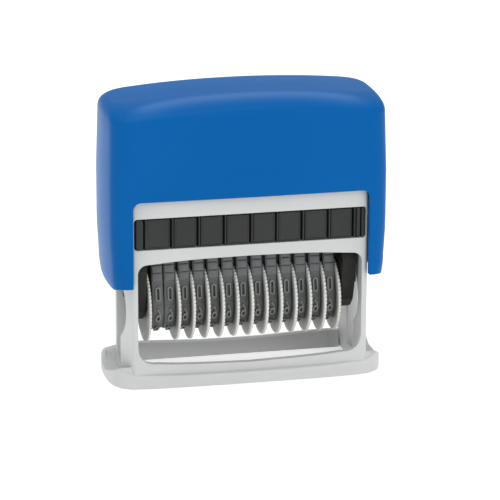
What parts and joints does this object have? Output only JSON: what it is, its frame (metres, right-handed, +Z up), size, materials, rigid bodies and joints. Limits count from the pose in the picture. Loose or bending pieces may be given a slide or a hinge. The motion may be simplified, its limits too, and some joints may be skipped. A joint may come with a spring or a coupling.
{
  "type": "self-inking numbering stamp",
  "caption": "Press-down self-inking numbering stamp: blue cap sliding on a light grey frame, black ink cartridge, row of knurled discs and rubber digit bands.",
  "frame": {"origin": "centre of the base's underside", "axes": "+X to the right along the row of digit wheels, +Y to the back, +Z up"},
  "size_m": [0.067, 0.0274, 0.0687],
  "materials": {
    "frame_plastic": "satin moulded",
    "blue_plastic": "gloss moulded",
    "black_plastic": "satin moulded",
    "wheel_plastic": "satin moulded",
    "band_rubber": "moulded rubber",
    "pad_felt": "ink-soaked felt",
    "pin_steel": "ground",
    "spring_steel": "drawn wire"
  },
  "bodies": {
    "frame": {"base_flange": "frame_plastic", "corner_ramps": "frame_plastic", "frame_front": "frame_plastic", "frame_rear": "frame_plastic", "frame_left_side": "frame_plastic", "frame_right_side": "frame_plastic", "spring_deck": "frame_plastic", "return_spring_left": "spring_steel", "return_spring_right": "spring_steel", "ink_tray": "black_plastic", "ink_pad": "pad_felt"},
    "handle": {"handle_cap": "blue_plastic", "left_pivot_arm": "blue_plastic", "right_pivot_arm": "blue_plastic", "pivot_pins": "pin_steel"},
    "carrier": {"carrier_left_plate": "black_plastic", "carrier_right_plate": "black_plastic", "type_bridge": "black_plastic", "wheel_axle": "pin_steel", "spacer_disc": "wheel_plastic", "band_01": "band_rubber", "band_02": "band_rubber", "band_03": "band_rubber", "band_04": "band_rubber", "band_05": "band_rubber", "band_06": "band_rubber", "band_07": "band_rubber", "band_08": "band_rubber", "band_09": "band_rubber", "band_10": "band_rubber", "band_11": "band_rubber", "band_12": "band_rubber", "band_13": "band_rubber"},
    "wheel_01_body": {"wheel_01": "wheel_plastic"},
    "wheel_02_body": {"wheel_02": "wheel_plastic"},
    "wheel_03_body": {"wheel_03": "wheel_plastic"},
    "wheel_04_body": {"wheel_04": "wheel_plastic"},
    "wheel_05_body": {"wheel_05": "wheel_plastic"},
    "wheel_06_body": {"wheel_06": "wheel_plastic"},
    "wheel_07_body": {"wheel_07": "wheel_plastic"},
    "wheel_08_body": {"wheel_08": "wheel_plastic"},
    "wheel_09_body": {"wheel_09": "wheel_plastic"},
    "wheel_10_body": {"wheel_10": "wheel_plastic"},
    "wheel_11_body": {"wheel_11": "wheel_plastic"},
    "wheel_12_body": {"wheel_12": "wheel_plastic"},
    "wheel_13_body": {"wheel_13": "wheel_plastic"}
  },
  "joints": [
    {"name": "handle_press", "type": "slide", "parent": "frame", "child": "handle", "axis": [0, 0, -1], "range_m": [0, 0.0174], "stiffness_N_per_m": 600, "springref_m": -0.012, "deforming": ["return_spring_left", "return_spring_right"]},
    {"name": "carrier_flip", "type": "hinge", "parent": "handle", "child": "carrier", "pos_m": [0, 0.0005, 0.02555], "axis": [-1, 0, 0], "range_deg": [0, 180]},
    {"name": "digit_01_turn", "type": "hinge", "parent": "carrier", "child": "wheel_01_body", "pos_m": [-0.0215, 0.0005, 0.01715], "axis": [-1, 0, 0], "continuous": true},
    {"name": "digit_02_turn", "type": "hinge", "parent": "carrier", "child": "wheel_02_body", "pos_m": [-0.018, 0.0005, 0.01715], "axis": [-1, 0, 0], "continuous": true},
    {"name": "digit_03_turn", "type": "hinge", "parent": "carrier", "child": "wheel_03_body", "pos_m": [-0.0145, 0.0005, 0.01715], "axis": [-1, 0, 0], "continuous": true},
    {"name": "digit_04_turn", "type": "hinge", "parent": "carrier", "child": "wheel_04_body", "pos_m": [-0.011, 0.0005, 0.01715], "axis": [-1, 0, 0], "continuous": true},
    {"name": "digit_05_turn", "type": "hinge", "parent": "carrier", "child": "wheel_05_body", "pos_m": [-0.0075, 0.0005, 0.01715], "axis": [-1, 0, 0], "continuous": true},
    {"name": "digit_06_turn", "type": "hinge", "parent": "carrier", "child": "wheel_06_body", "pos_m": [-0.004, 0.0005, 0.01715], "axis": [-1, 0, 0], "continuous": true},
    {"name": "digit_07_turn", "type": "hinge", "parent": "carrier", "child": "wheel_07_body", "pos_m": [-0.0005, 0.0005, 0.01715], "axis": [-1, 0, 0], "continuous": true},
    {"name": "digit_08_turn", "type": "hinge", "parent": "carrier", "child": "wheel_08_body", "pos_m": [0.003, 0.0005, 0.01715], "axis": [-1, 0, 0], "continuous": true},
    {"name": "digit_09_turn", "type": "hinge", "parent": "carrier", "child": "wheel_09_body", "pos_m": [0.0065, 0.0005, 0.01715], "axis": [-1, 0, 0], "continuous": true},
    {"name": "digit_10_turn", "type": "hinge", "parent": "carrier", "child": "wheel_10_body", "pos_m": [0.01, 0.0005, 0.01715], "axis": [-1, 0, 0], "continuous": true},
    {"name": "digit_11_turn", "type": "hinge", "parent": "carrier", "child": "wheel_11_body", "pos_m": [0.0135, 0.0005, 0.01715], "axis": [-1, 0, 0], "continuous": true},
    {"name": "digit_12_turn", "type": "hinge", "parent": "carrier", "child": "wheel_12_body", "pos_m": [0.017, 0.0005, 0.01715], "axis": [-1, 0, 0], "continuous": true},
    {"name": "digit_13_turn", "type": "hinge", "parent": "carrier", "child": "wheel_13_body", "pos_m": [0.0205, 0.0005, 0.01715], "axis": [-1, 0, 0], "continuous": true}
  ],
  "couplings": [
    {"joint": "carrier_flip", "follows": "handle_press", "rad_per_m": 180.54}
  ]
}
